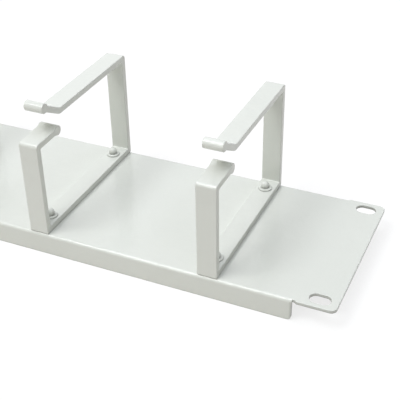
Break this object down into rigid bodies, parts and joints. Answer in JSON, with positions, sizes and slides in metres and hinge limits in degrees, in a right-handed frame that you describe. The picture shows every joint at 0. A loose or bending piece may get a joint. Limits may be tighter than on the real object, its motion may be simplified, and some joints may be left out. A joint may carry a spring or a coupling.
{
  "type": "rack cable management panel",
  "caption": "Folded rack panel with slotted ears, carrying a row of open bent-strip cable brackets, each with beaded ends that pass each other and held by blind rivets.",
  "frame": {"origin": "centre of the four rack slots, on the rear face of the panel, which lies against the rack's rails", "axes": "+X along the panel, parallel to the long side of the slots; +Y across the panel, from the side where the bracket mouths open towards the side of the closed legs; +Z out of the panel's front, the way the brackets stand"},
  "size_m": [0.4826, 0.0882, 0.0786],
  "materials": {
    "panel_coat": "semi-gloss pale grey powder coat on sheet steel",
    "bracket_coat": "semi-gloss pale grey powder coat on steel strip",
    "rivet_coat": "semi-gloss pale grey powder coat over set rivets"
  },
  "bodies": {
    "root": {"bracket_1": "bracket_coat", "bracket_2": "bracket_coat", "bracket_3": "bracket_coat", "bracket_4": "bracket_coat", "bracket_5": "bracket_coat", "panel": "panel_coat", "rivet_mandrel_1_far": "rivet_coat", "rivet_mandrel_1_near": "rivet_coat", "rivet_mandrel_2_far": "rivet_coat", "rivet_mandrel_2_near": "rivet_coat", "rivet_mandrel_3_far": "rivet_coat", "rivet_mandrel_3_near": "rivet_coat", "rivet_mandrel_4_far": "rivet_coat", "rivet_mandrel_4_near": "rivet_coat", "rivet_mandrel_5_far": "rivet_coat", "rivet_mandrel_5_near": "rivet_coat", "rivet_sleeve_1_far": "rivet_coat", "rivet_sleeve_1_near": "rivet_coat", "rivet_sleeve_2_far": "rivet_coat", "rivet_sleeve_2_near": "rivet_coat", "rivet_sleeve_3_far": "rivet_coat", "rivet_sleeve_3_near": "rivet_coat", "rivet_sleeve_4_far": "rivet_coat", "rivet_sleeve_4_near": "rivet_coat", "rivet_sleeve_5_far": "rivet_coat", "rivet_sleeve_5_near": "rivet_coat"}
  },
  "joints": []
}
